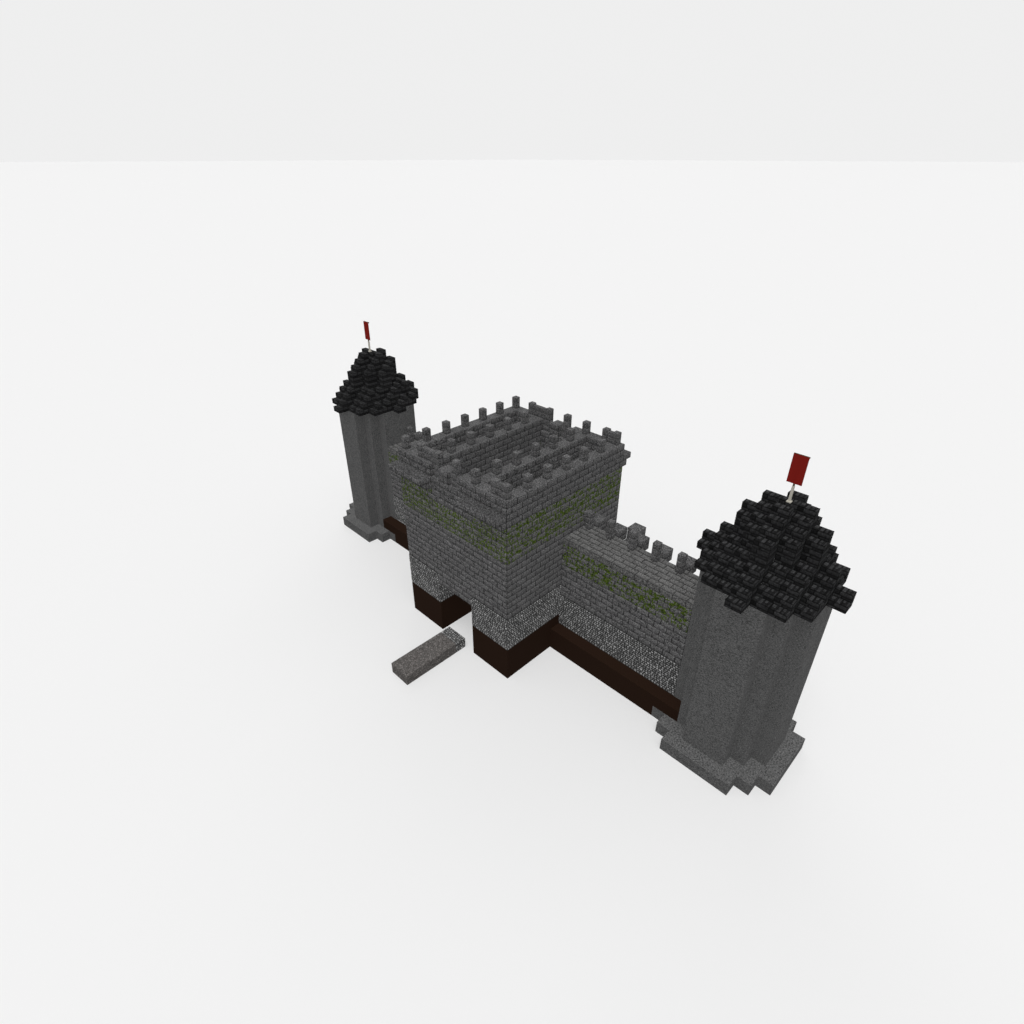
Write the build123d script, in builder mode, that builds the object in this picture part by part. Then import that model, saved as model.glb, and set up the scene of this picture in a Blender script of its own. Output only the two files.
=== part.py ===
from math import isqrt
import os

from build123d import *

# Fortified gatehouse at half scale: 1 m of the real building is 500 mm here.
# The origin is on the ground, in the middle of the gate passage. X runs along
# the wall, the front faces -Y and Z is up.

# Masonry module: the edge of one block, which sets the stepped round plans
# and the spacing of the battlements
block = 500.0

# Gate and the two gate towers
gate_width = 2000.0
gate_height = 2500.0
tower_width = 2000.0
tower_depth = 6500.0
tower_height = 8000.0
tower_wall = 500.0
tower_base_height = 1500.0
tower_rubble_height = 1500.0
gate_head_drop = 500.0

# Corbels under the tower tops, an upside-down step of two equal treads
corbel_reach = 500.0
corbel_height = 500.0
corbel_drop = 500.0

# Parapet posts and the low links between neighbouring posts
post_width = 250.0
post_height = 500.0
link_thickness = 187.5
link_height = 437.5

# Causeway slabs before and behind the gate
causeway_width = 1000.0
causeway_length = 3000.0
causeway_height = 500.0

# Curtain walls
curtain_length = 5500.0
curtain_setback = 500.0
curtain_thickness = 1500.0
curtain_base_width = 2500.0
curtain_base_height = 1000.0
curtain_rubble_height = 1500.0
curtain_ashlar_height = 2500.0
walk_thickness = 250.0
walk_post_height = 750.0
walk_link_lift = 250.0

# Round towers
plinth_radius = 2250.0
plinth_height = 500.0
shaft_radius = 1750.0
shaft_height = 6500.0
roof_radii = (2000.0, 1500.0, 1000.0, 1000.0, 500.0)
roof_course = 500.0
tile_rise = 250.0
tile_tread = 250.0

# Roof rod, banner pole and banner
rod_base_width = 125.0
rod_base_height = 31.25
rod_width = 62.5
rod_height = 500.0
pole_width = 41.7
pole_height = 875.0
crossbar_length = 416.7
cloth_drop = 833.3
cloth_thickness = 20.8
cloth_clearance = 0.3

# Derived places
tower_x = (gate_width + tower_width) / 2
tower_outer_x = gate_width / 2 + tower_width
inner_width = tower_width - 2 * tower_wall
inner_depth = tower_depth - 2 * tower_wall
rubble_top = tower_base_height + tower_rubble_height
upper_height = tower_height - rubble_top
head_top = tower_height - gate_head_drop
head_y = (tower_depth - tower_wall) / 2
shaft_reach = (shaft_radius // block + 0.5) * block
round_x = tower_outer_x + curtain_length + shaft_reach
curtain_y = curtain_setback
curtain_rubble_top = curtain_base_height + curtain_rubble_height
walk_bottom = curtain_rubble_top + curtain_ashlar_height
walk_top = walk_bottom + walk_thickness
shaft_top = plinth_height + shaft_height
roof_top = shaft_top + roof_course * len(roof_radii)
pole_bottom = roof_top + rod_height
pole_top = pole_bottom + pole_height


def round_plan(radius):
    """Rows of a round plan laid in whole blocks, as (row centre, row width)."""
    limit = int((radius / block) ** 2)
    reach = isqrt(limit)
    rows = range(-reach, reach + 1)
    return [(row * block, (2 * isqrt(limit - row * row) + 1) * block) for row in rows]


def draw_round_plan(centre_x, radius, mode=Mode.ADD):
    """Draw a stepped round plan into the sketch that is open."""
    for row_y, row_width in round_plan(radius):
        with Locations((centre_x, curtain_y + row_y)):
            Rectangle(row_width, block, mode=mode)


def save(piece, name):
    """Name a finished piece and write its STEP file."""
    piece.part.label = name
    export_step(piece.part, f"parts/{name}.step")


os.makedirs("parts", exist_ok=True)

for side, hand in (("left", -1), ("right", 1)):
    # Gate tower: a rectangular shell on a dark base and a rubble course
    with BuildPart() as tower_base:
        with BuildSketch() as base_plan:
            with Locations((hand * tower_x, 0)):
                Rectangle(tower_width, tower_depth)
                Rectangle(inner_width, inner_depth, mode=Mode.SUBTRACT)
        extrude(amount=tower_base_height)
    save(tower_base, f"{side}_tower_base")

    with BuildPart() as tower_rubble:
        with BuildSketch(Plane.XY.offset(tower_base_height)) as rubble_plan:
            with Locations((hand * tower_x, 0)):
                Rectangle(tower_width, tower_depth)
                Rectangle(inner_width, inner_depth, mode=Mode.SUBTRACT)
        extrude(amount=tower_rubble_height)
    save(tower_rubble, f"{side}_tower_rubble_course")

    for face, along in (("front", -1), ("back", 1)):
        with BuildPart() as end_wall:
            with BuildSketch(Plane.XY.offset(rubble_top)) as end_plan:
                with Locations((hand * tower_x, along * head_y)):
                    Rectangle(tower_width, tower_wall)
            extrude(amount=upper_height)
        save(end_wall, f"{side}_tower_{face}_wall")

    for face, reach in (("outer", tower_width - tower_wall / 2), ("passage", tower_wall / 2)):
        with BuildPart() as side_wall:
            with BuildSketch(Plane.XY.offset(rubble_top)) as side_plan:
                with Locations((hand * (gate_width / 2 + reach), 0)):
                    Rectangle(tower_wall, inner_depth)
            extrude(amount=upper_height)
        save(side_wall, f"{side}_tower_{face}_wall")

    # Corbels: an upside-down step across the front and the back of the tower
    with BuildPart() as corbels:
        corbel_top = tower_height - corbel_drop
        with BuildSketch(Plane.YZ.offset(hand * tower_x - tower_width / 2)) as corbel_profile:
            with BuildLine() as corbel_edge:
                Polyline(
                    (-tower_depth / 2, corbel_top),
                    (-tower_depth / 2 - corbel_reach, corbel_top),
                    (-tower_depth / 2 - corbel_reach, corbel_top - corbel_height / 2),
                    (-tower_depth / 2 - corbel_reach / 2, corbel_top - corbel_height / 2),
                    (-tower_depth / 2 - corbel_reach / 2, corbel_top - corbel_height),
                    (-tower_depth / 2, corbel_top - corbel_height),
                    close=True,
                )
            make_face()
            mirror(about=Plane.YZ)
        extrude(amount=tower_width)
    save(corbels, f"{side}_tower_corbels")

    # Curtain wall, built against the stepped plinth and shaft of the round tower
    wall_middle = hand * (tower_outer_x + round_x) / 2
    wall_run = round_x - tower_outer_x

    with BuildPart() as curtain_base:
        with BuildSketch() as foot_plan:
            with Locations((wall_middle, curtain_y)):
                Rectangle(wall_run, curtain_base_width)
            draw_round_plan(hand * round_x, plinth_radius, Mode.SUBTRACT)
        extrude(amount=plinth_height)
        with BuildSketch(Plane.XY.offset(plinth_height)) as upper_foot_plan:
            with Locations((wall_middle, curtain_y)):
                Rectangle(wall_run, curtain_base_width)
            draw_round_plan(hand * round_x, shaft_radius, Mode.SUBTRACT)
        extrude(amount=curtain_base_height - plinth_height)
    save(curtain_base, f"{side}_curtain_base")

    curtain_courses = (
        ("curtain_rubble_course", curtain_base_height, curtain_rubble_height),
        ("curtain_wall", curtain_rubble_top, curtain_ashlar_height),
        ("wall_walk", walk_bottom, walk_thickness),
    )
    for name, bottom, height in curtain_courses:
        with BuildPart() as course:
            with BuildSketch(Plane.XY.offset(bottom)) as course_plan:
                with Locations((wall_middle, curtain_y)):
                    Rectangle(wall_run, curtain_thickness)
                draw_round_plan(hand * round_x, shaft_radius, Mode.SUBTRACT)
            extrude(amount=height)
        save(course, f"{side}_{name}")

    # Battlements along the rear edge of the wall walk, one on every second block
    merlon_count = int((curtain_length - block) // (2 * block)) + 1
    merlon_spots = [
        (hand * (tower_outer_x + (2 * index + 0.5) * block), curtain_y)
        for index in range(merlon_count)
    ]
    rear_edge = curtain_thickness / 2

    with BuildPart() as merlons:
        with BuildSketch(Plane.XY.offset(walk_bottom)) as merlon_plan:
            with Locations(*[(x, y + rear_edge + block / 2) for x, y in merlon_spots]):
                Rectangle(block, block)
        extrude(amount=block)
    save(merlons, f"{side}_wall_merlons")

    with BuildPart() as walk_posts:
        post_row = [(x, y + rear_edge - block / 2) for x, y in merlon_spots]
        with BuildSketch(Plane.XY.offset(walk_top)) as post_plan:
            with Locations(*post_row):
                Rectangle(post_width, post_width)
        extrude(amount=walk_post_height)
        with BuildSketch(Plane.XY.offset(walk_top + walk_link_lift)) as link_plan:
            link_run = (block - post_width) / 2
            with Locations((hand * (tower_outer_x + link_run / 2), post_row[0][1])):
                Rectangle(link_run, link_thickness)
        extrude(amount=link_height)
    save(walk_posts, f"{side}_wall_posts")

    # Round tower: stepped plinth and shaft
    with BuildPart() as plinth:
        with BuildSketch() as plinth_plan:
            draw_round_plan(hand * round_x, plinth_radius)
        extrude(amount=plinth_height)
    save(plinth, f"{side}_round_tower_plinth")

    with BuildPart() as shaft:
        with BuildSketch(Plane.XY.offset(plinth_height)) as shaft_plan:
            draw_round_plan(hand * round_x, shaft_radius)
        extrude(amount=shaft_height)
    save(shaft, f"{side}_round_tower_shaft")

    # Roof: shrinking courses. Each row of a course is a step whose rear half
    # stands a tile rise higher, so that the tiles run across the whole cone.
    with BuildPart() as roof:
        for course, radius in enumerate(roof_radii):
            course_z = shaft_top + course * roof_course
            with BuildSketch(Plane.XY.offset(course_z)) as course_foot:
                draw_round_plan(hand * round_x, radius)
            extrude(amount=roof_course - tile_rise)
            with BuildSketch(Plane.XY.offset(course_z + roof_course - tile_rise)) as treads:
                for row_y, row_width in round_plan(radius):
                    tread_y = curtain_y + row_y + (block - tile_tread) / 2
                    with Locations((hand * round_x, tread_y)):
                        Rectangle(row_width, tile_tread)
                for upper_radius in roof_radii[course + 1:course + 2]:
                    draw_round_plan(hand * round_x, upper_radius)
            extrude(amount=tile_rise)
    save(roof, f"{side}_round_tower_roof")

    # Rod on the roof's last course
    with BuildPart() as rod:
        with BuildSketch(Plane.XY.offset(roof_top)) as rod_foot:
            with Locations((hand * round_x, curtain_y)):
                Rectangle(rod_base_width, rod_base_width)
        extrude(amount=rod_base_height)
        with BuildSketch(Plane.XY.offset(roof_top)) as rod_plan:
            with Locations((hand * round_x, curtain_y)):
                Rectangle(rod_width, rod_width)
        extrude(amount=rod_height)
    save(rod, f"{side}_finial_rod")

    # Banner pole with its crossbar, and the cloth that hangs before it
    with BuildPart() as pole:
        with BuildSketch(Plane.XY.offset(pole_bottom)) as pole_plan:
            with Locations((hand * round_x, curtain_y)):
                Rectangle(pole_width, pole_width)
        extrude(amount=pole_height)
        with BuildSketch(Plane.XY.offset(pole_top)) as crossbar_plan:
            with Locations((hand * round_x, curtain_y)):
                Rectangle(crossbar_length, pole_width)
        extrude(amount=pole_width)
    save(pole, f"{side}_banner_pole")

    with BuildPart() as banner:
        cloth_y = curtain_y - (pole_width + cloth_thickness) / 2 - cloth_clearance
        with BuildSketch(Plane.XY.offset(pole_top + pole_width - cloth_drop)) as banner_plan:
            with Locations((hand * round_x, cloth_y)):
                Rectangle(crossbar_length, cloth_thickness)
        extrude(amount=cloth_drop)
    save(banner, f"{side}_banner")

# Gate heads: the wall over the gate carries a merlon on every second block,
# and the notches between them hold recessed posts.
gate_cells = range(round(gate_width / block))
notch_spots = [(cell + 0.5) * block - gate_width / 2 for cell in gate_cells if cell % 2 == 0]
merlon_x = [(cell + 0.5) * block - gate_width / 2 for cell in gate_cells if cell % 2 == 1]

for face, along in (("front", -1), ("back", 1)):
    with BuildPart() as gate_head:
        with BuildSketch(Plane.XY.offset(gate_height)) as head_plan:
            with Locations((0, along * head_y)):
                Rectangle(gate_width, tower_wall)
        extrude(amount=head_top - gate_height)
        with BuildSketch(Plane.XY.offset(head_top)) as head_merlon_plan:
            with Locations(*[(x, along * head_y) for x in merlon_x]):
                Rectangle(block, tower_wall)
        extrude(amount=gate_head_drop)
    save(gate_head, f"gate_head_{face}")

with BuildPart() as gate_parapet:
    for along in (-1, 1):
        with BuildSketch(Plane.XY.offset(head_top)) as gate_post_plan:
            with Locations(*[(x, along * head_y) for x in notch_spots]):
                Rectangle(post_width, post_width)
        extrude(amount=gate_head_drop + post_height)
        with BuildSketch(Plane.XY.offset(head_top)) as notch_link_plan:
            with Locations(*[(x, along * head_y) for x in notch_spots]):
                Rectangle(block, link_thickness)
        extrude(amount=link_height)
save(gate_parapet, "gate_parapet")

# Tower parapets. Corner posts stand on every second block counted from the
# left end of the front, so the two towers differ. A low link joins the posts
# that stand closer than that.
side_post_count = int(inner_depth // (2 * block))
corner_x = {
    "left": (-tower_outer_x + block / 2, -tower_outer_x + 2.5 * block),
    "right": (tower_outer_x - 3.5 * block, tower_outer_x - 1.5 * block, tower_outer_x - block / 2),
}
link_span = {
    "left": (-tower_outer_x + 2.5 * block + post_width / 2, -(gate_width + post_width - block) / 2),
    "right": (tower_outer_x - 1.5 * block + post_width / 2, tower_outer_x - (block + post_width) / 2),
}

for side, hand in (("left", -1), ("right", 1)):
    with BuildPart() as parapet:
        with BuildSketch(Plane.XY.offset(tower_height)) as side_post_plan:
            with Locations((hand * tower_x, 0)):
                with GridLocations(tower_width - tower_wall, 2 * block, 2, side_post_count):
                    Rectangle(post_width, post_width)
            with Locations(*[(x, y) for x in corner_x[side] for y in (-head_y, head_y)]):
                Rectangle(post_width, post_width)
        extrude(amount=post_height)
        link_start, link_end = link_span[side]
        with BuildSketch(Plane.XY.offset(tower_height)) as corner_link_plan:
            with Locations(*[((link_start + link_end) / 2, y) for y in (-head_y, head_y)]):
                Rectangle(link_end - link_start, link_thickness)
        extrude(amount=link_height)
    save(parapet, f"{side}_tower_parapet")

# Causeway slabs that run up to the gate from both sides
with BuildPart() as causeways:
    with BuildSketch() as causeway_plan:
        with GridLocations(0, tower_depth + causeway_length, 1, 2):
            Rectangle(causeway_width, causeway_length)
    extrude(amount=causeway_height)
save(causeways, "causeways")

# Bracket on the rear of the right curtain wall: a lone block beyond the
# merlons, carried from the wall by a block below it
bracket_cell = 3
bracket_x = tower_outer_x + (bracket_cell + 0.5) * block
rear_face = curtain_y + curtain_thickness / 2

with BuildPart() as bracket:
    with BuildSketch(Plane.YZ.offset(bracket_x - block / 2)) as bracket_profile:
        with BuildLine() as bracket_edge:
            Polyline(
                (rear_face, walk_bottom - block),
                (rear_face + 2 * block, walk_bottom - block),
                (rear_face + 2 * block, walk_bottom + block),
                (rear_face + block, walk_bottom + block),
                (rear_face + block, walk_bottom),
                (rear_face, walk_bottom),
                close=True,
            )
        make_face()
    extrude(amount=block)
save(bracket, "right_wall_bracket")
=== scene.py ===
import logging
import math
from collections.abc import Iterator, Sequence
from contextlib import contextmanager
from dataclasses import dataclass
from enum import Enum, auto
from functools import cache

import bpy
import numpy as np
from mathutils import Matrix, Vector


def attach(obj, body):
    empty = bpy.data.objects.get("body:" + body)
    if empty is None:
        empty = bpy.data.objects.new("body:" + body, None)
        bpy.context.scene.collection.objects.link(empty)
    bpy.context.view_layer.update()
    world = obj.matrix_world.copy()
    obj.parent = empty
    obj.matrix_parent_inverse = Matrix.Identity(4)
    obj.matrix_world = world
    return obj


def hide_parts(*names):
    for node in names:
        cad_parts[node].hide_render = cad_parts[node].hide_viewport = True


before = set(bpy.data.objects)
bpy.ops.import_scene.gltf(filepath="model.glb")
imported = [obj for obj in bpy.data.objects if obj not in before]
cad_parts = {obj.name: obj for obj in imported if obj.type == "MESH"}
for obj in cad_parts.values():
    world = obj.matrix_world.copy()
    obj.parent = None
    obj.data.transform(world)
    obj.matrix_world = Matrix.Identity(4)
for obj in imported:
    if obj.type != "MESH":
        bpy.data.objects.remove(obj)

LOG = logging.getLogger("gatehouse")
Socket = bpy.types.NodeSocket
Sockets = bpy.types.bpy_prop_collection
Point = tuple[float, float, float]
Colour = tuple[float, float, float]
Span = tuple[float, float]
Box = tuple[Point, Point]
Cell = tuple[int, int]

BLOCK = 0.5
HALF = BLOCK / 2
COURSE = BLOCK / 2
ALONG, BACK, UP = (BLOCK, 0.0, 0.0), (0.0, BLOCK, 0.0), (0.0, 0.0, BLOCK)
EVERY_SECOND = (2 * BLOCK, 0.0, 0.0)


class Where(Enum):
    """A choice of place, whose name in lower case stands in node names."""

    @property
    def word(self) -> str:
        """The place's name in node names."""
        return self.name.lower()


class Side(Where):
    """The two ends of the gatehouse, with the sign of X on each."""

    LEFT = -1
    RIGHT = 1


class Face(Where):
    """Front and back, with the sign of Y on each."""

    FRONT = -1
    BACK = 1


class Flank(Where):
    """A gate tower's two long walls."""

    OUTER = auto()
    PASSAGE = auto()


# Node graphs


class Graph:
    """A short way to write a shader node tree."""

    def __init__(self, tree: bpy.types.NodeTree) -> None:
        """Write into a node tree."""
        self.tree = tree

    def add(self, kind: str, feeds: dict | None = None, **settings: object) -> bpy.types.Node:
        """Add a node.

        Args:
            kind: The node's type.
            feeds: Sockets or values for its inputs, by name or number.
            **settings: Properties set on the node.

        Returns:
            The new node.
        """
        row, column = divmod(len(self.tree.nodes), 8)
        node = self.tree.nodes.new(kind)
        node.location = (200 * column, -260 * row)
        for name, value in settings.items():
            setattr(node, name, value)
        for key, value in (feeds or {}).items():
            self.feed(node.inputs[key], value)
        return node

    def feed(self, socket: Socket, value: object) -> None:
        """Link an output to an input, or set the input's value.

        Args:
            socket: The input.
            value: An output socket, a number, a vector or a colour.
        """
        if isinstance(value, Socket):
            self.tree.links.new(value, socket)
        elif socket.type == "RGBA":
            socket.default_value = (*value, 1.0)
        else:
            socket.default_value = value

    def maths(self, operation: str, first: object, *others: object) -> Socket:
        """Put values through Math nodes.

        Args:
            operation: What each node does.
            first: A number or a socket.
            *others: The rest, taken in one after another.

        Returns:
            The result.
        """
        for other in others or (0.0,):
            first = self.add("ShaderNodeMath", {0: first, 1: other}, operation=operation).outputs[0]
        return first

    def times(self, *values: object) -> Socket:
        """Multiply values."""
        return self.maths("MULTIPLY", *values)

    def plus(self, *values: object) -> Socket:
        """Add values up."""
        return self.maths("ADD", *values)

    def minus(self, first: object, second: object) -> Socket:
        """Take the second value from the first."""
        return self.maths("SUBTRACT", first, second)

    def tint(self, colour: object, factor: object) -> Socket:
        """Make a colour lighter or darker by a factor."""
        return self.add("ShaderNodeVectorMath", {0: colour, "Scale": factor}, operation="SCALE").outputs[0]

    def mix(self, factor: object, low: object, high: object) -> Socket:
        """Mix two colours, where the factor is the share of the second."""
        return self.add("ShaderNodeMix", {"Factor": factor, 6: low, 7: high}, data_type="RGBA").outputs[2]

    def spread(self, value: object, start: float, end: float, low: float = 0.0, high: float = 1.0) -> Socket:
        """Map the range from start to end to low to high, held at its ends."""
        feeds = {"Value": value, "From Min": start, "From Max": end, "To Min": low, "To Max": high}
        return self.add("ShaderNodeMapRange", feeds).outputs[0]

    def noise(self, place: Socket, scale: object, detail: float = 1.0, roughness: float = 0.5) -> bpy.types.Node:
        """Add a noise texture, with its features to the metre and its octaves."""
        feeds = {"Vector": place, "Scale": scale, "Detail": detail, "Roughness": roughness}
        return self.add("ShaderNodeTexNoise", feeds)

    def place(self) -> Socket:
        """Where the point lies on the object."""
        return self.add("ShaderNodeTexCoord").outputs["Object"]

    def mark(self, name: str) -> Socket:
        """The value of that name that the mesh carries."""
        return self.add("ShaderNodeAttribute", attribute_name=name).outputs["Fac"]

    def group(self, tree: bpy.types.NodeTree, **feeds: object) -> Sockets:
        """Place a node group and give its outputs."""
        return self.add("ShaderNodeGroup", feeds, node_tree=tree).outputs

    def grain(self, place: Socket, scale: float, contrast: float, stretch: Point = (1.0, 1.0, 1.0)) -> Sockets:
        """Place the fine grain, stretched, and give its outputs."""
        mapping = self.add("ShaderNodeMapping", {"Vector": place, "Scale": stretch})
        return self.group(grain_group(), Coordinate=mapping.outputs[0], Scale=scale, Contrast=contrast)


def new_group(name: str, values: dict[str, float], outputs: Sequence[str]) -> tuple[Graph, Sockets, Sockets]:
    """Start a node group that takes a coordinate and some values.

    Args:
        name: The group's name.
        values: The values that it takes, with their defaults.
        outputs: The names of the values that it puts out.

    Returns:
        Its graph, the sockets that it is given and the sockets that it fills.
    """
    tree = bpy.data.node_groups.new(name, "ShaderNodeTree")
    tree.interface.new_socket("Coordinate", in_out="INPUT", socket_type="NodeSocketVector")
    for label, default in values.items():
        socket = tree.interface.new_socket(label, in_out="INPUT", socket_type="NodeSocketFloat")
        socket.default_value = default
    for label in outputs:
        tree.interface.new_socket(label, in_out="OUTPUT", socket_type="NodeSocketFloat")
    graph = Graph(tree)
    return graph, graph.add("NodeGroupInput").outputs, graph.add("NodeGroupOutput").inputs


@cache
def grain_group() -> bpy.types.NodeTree:
    """The fine grain of stone, wood or cloth, made once and shared.

    Returns:
        A group with Coordinate, Scale and Contrast in, Tone and Height out.
    """
    graph, given, made = new_group("fine_grain", {"Scale": 24.0, "Contrast": 0.2}, ("Tone", "Height"))
    fine_gain, broad_gain, broad_scale, darkest = 6.0, 0.5, 2.3, 0.2
    fine = graph.noise(given["Coordinate"], given["Scale"], detail=2.0, roughness=0.65).outputs["Fac"]
    broad = graph.noise(given["Coordinate"], broad_scale, detail=2.0).outputs["Fac"]
    fine_part = graph.times(graph.minus(fine, 0.5), fine_gain)
    broad_part = graph.times(graph.minus(broad, 0.5), broad_gain)
    swing = graph.times(graph.plus(fine_part, broad_part), given["Contrast"])
    graph.feed(made["Tone"], graph.maths("MAXIMUM", graph.plus(1.0, swing), darkest))
    graph.feed(made["Height"], fine)
    return graph.tree


@cache
def chips_group() -> bpy.types.NodeTree:
    """Cracks and broken spots of old stone, made once and shared.

    Returns:
        A group with Coordinate and Amount in, Tone and Height out.
    """
    graph, given, made = new_group("cracks_and_chips", {"Amount": 0.5}, ("Tone", "Height"))
    place, amount = given["Coordinate"], given["Amount"]
    bend_scale, bend_reach, crack_scale, chip_scale, spark_scale = 8.0, 0.16, 12.0, 26.0, 30.0
    crack_edge, chip_edge, spark_edge = (0.02, 0.14), (0.53, 0.60), (0.54, 0.62)
    crack_dark, spark_light = 0.9, 0.8
    bend = graph.tint(graph.noise(place, bend_scale, detail=2.0).outputs["Color"], bend_reach)
    bent = graph.add("ShaderNodeVectorMath", {0: place, 1: bend}, operation="ADD").outputs[0]
    cells = graph.add("ShaderNodeTexVoronoi", {"Vector": bent, "Scale": crack_scale}, feature="DISTANCE_TO_EDGE")
    crack = graph.spread(cells.outputs["Distance"], *crack_edge, 1.0, 0.0)
    chip = graph.spread(graph.noise(place, chip_scale).outputs["Fac"], *chip_edge)
    spark = graph.spread(graph.noise(bent, spark_scale).outputs["Fac"], *spark_edge)
    hurt = graph.maths("MAXIMUM", graph.times(crack, crack_dark), chip)
    darker = graph.minus(1.0, graph.times(hurt, amount))
    graph.feed(made["Tone"], graph.plus(darker, graph.times(spark, amount, spark_light)))
    graph.feed(made["Height"], graph.times(hurt, -1.0))
    return graph.tree


@cache
def moss_group() -> bpy.types.NodeTree:
    """Moss in clumps that hang to the foot of each course, made once and shared.

    Returns:
        A group with Coordinate and Amount in, Mask and Height out.
    """
    graph, given, made = new_group("course_moss", {"Amount": 0.5}, ("Mask", "Height"))
    place = given["Coordinate"]
    clump_scale, clump_share, leaf_scale, leaf_share = 10.5, 0.72, 27.0, 0.28
    low_pull, upper_pull, edge_width = 0.045, 0.035, 0.02
    clump = graph.noise(place, clump_scale).outputs["Fac"]
    leaf = graph.noise(place, leaf_scale, roughness=0.6).outputs["Fac"]
    row = graph.maths("DIVIDE", graph.add("ShaderNodeSeparateXYZ", {0: place}).outputs[2], COURSE)
    low = graph.minus(1.0, graph.maths("FRACT", row))
    upper = graph.maths("FLOORED_MODULO", graph.maths("FLOOR", row), 2.0)
    body = graph.plus(graph.times(clump, clump_share), graph.times(leaf, leaf_share))
    pull = graph.plus(graph.times(low, low_pull), graph.times(upper, upper_pull))
    edge = graph.plus(body, pull, graph.minus(given["Amount"], 1.0))
    graph.feed(made["Mask"], graph.spread(edge, 0.0, edge_width))
    graph.feed(made["Height"], leaf)
    return graph.tree


# Finishes


@dataclass(frozen=True)
class Finish:
    """What every finish has: a name, a colour, a relief and a gloss."""

    name: str
    colour: Colour
    bump: float = 0.006
    relief: float = 0.6
    roughness: float = 0.92
    shine: float = 0.15

    def paint(self, graph: Graph) -> tuple[Socket, Socket]:
        """Write the surface's nodes into the material's graph, and give its colour and height."""
        raise NotImplementedError

    @cache
    def material(self) -> bpy.types.Material:
        """Make the material, or give it if it is made.

        Returns:
            The material.
        """
        made = bpy.data.materials.new(self.name)
        made.use_nodes = True
        graph = Graph(made.node_tree)
        colour, height = self.paint(graph)
        bump = graph.add("ShaderNodeBump", {"Height": height, "Distance": self.bump, "Strength": self.relief})
        shader = made.node_tree.nodes["Principled BSDF"]
        graph.feed(shader.inputs["Base Color"], colour)
        graph.feed(shader.inputs["Roughness"], self.roughness)
        graph.feed(shader.inputs["Specular IOR Level"], self.shine)
        graph.feed(shader.inputs["Normal"], bump.outputs[0])
        return made


@dataclass(frozen=True)
class StoneFinish(Finish):
    """Stone that is laid in pieces, with its joints, painted shade and highlight on each stone, chips and moss."""

    contrast: float = 0.95
    grain_scale: float = 23.0
    stretch: Point = (1.0, 1.0, 1.5)
    stone_swing: float = 0.08
    joint: float = 0.12
    # How much upward chamfers marked below 0 are painted lighter: a painted highlight
    chamfer_highlight: float = 0.45
    # Painted shade and highlight over each stone's height: darker at the foot, lighter at the top
    rise_shade: float = 0.27
    chips: float = 0.0
    moss: float = 0.0
    moss_dark: Colour = (0.012, 0.026, 0.002)
    moss_light: Colour = (0.094, 0.138, 0.017)
    leaves: Span = (0.43, 0.57)
    moss_relief: float = 0.6
    moss_in_joint: float = 0.7
    grain_relief: float = 0.6
    foot_rise: Span = (-0.62, -0.45)
    foot_shade: float = 1.4
    edge_rise: Span = (0.55, 1.0)
    top_edge_highlight: float = 0.5

    def paint(self, graph: Graph) -> tuple[Socket, Socket]:
        """Write the nodes of the stone's colour and height.

        Args:
            graph: The material's graph.

        Returns:
            The colour and the height.
        """
        place = graph.place()
        grain = graph.grain(place, self.grain_scale, self.contrast, self.stretch)
        height = graph.times(grain["Height"], self.grain_relief)
        stone = graph.plus(1.0, graph.times(graph.mark("tone"), self.stone_swing))
        tone = graph.times(grain["Tone"], stone)
        if self.chips:
            chips = graph.group(chips_group(), Coordinate=place, Amount=self.chips)
            tone = graph.times(tone, chips["Tone"])
            height = graph.plus(height, chips["Height"])
        # Painted shade at each stone's foot and a painted highlight at its top
        if self.rise_shade:
            tone = graph.times(tone, *self.shade_by_rise(graph))
        # Dark joints together with painted shade on chamfers and darkened tops; marks below 0 give a painted
        # highlight
        joint_and_shade = graph.mark("joint_and_shade")
        sunk = graph.times(graph.maths("MAXIMUM", joint_and_shade, 0.0), 1.0 - self.joint)
        lit = graph.times(graph.maths("MINIMUM", joint_and_shade, 0.0), -self.chamfer_highlight)
        colour = graph.tint(self.colour, graph.times(tone, graph.plus(graph.minus(1.0, sunk), lit)))
        if self.moss:
            moss = graph.group(moss_group(), Coordinate=place, Amount=self.moss)
            leaf = graph.spread(moss["Height"], *self.leaves)
            green = graph.mix(leaf, self.moss_dark, self.moss_light)
            # The moss is darkened with the joints and their painted shade
            shaded = graph.tint(green, graph.minus(1.0, graph.times(sunk, self.moss_in_joint)))
            colour = graph.mix(moss["Mask"], colour, shaded)
            height = graph.plus(height, graph.times(moss["Mask"], self.moss_relief))
        return colour, height

    def shade_by_rise(self, graph: Graph) -> tuple[Socket, Socket, Socket]:
        """Write the nodes of painted shade and highlight, which make a stone darker at its foot and lighter at its
        top.

        Args:
            graph: The material's graph.

        Returns:
            Three factors: painted shade over the whole rise, painted shade at the foot and a painted highlight on the
                upper edge.
        """
        rise = graph.mark("rise_shade")
        whole = graph.plus(1.0, graph.times(rise, self.rise_shade))
        foot = graph.spread(rise, *self.foot_rise, 1.0 - self.foot_shade * self.rise_shade, 1.0)
        return whole, foot, graph.spread(rise, *self.edge_rise, 1.0, 1.0 + self.top_edge_highlight * self.rise_shade)


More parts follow.
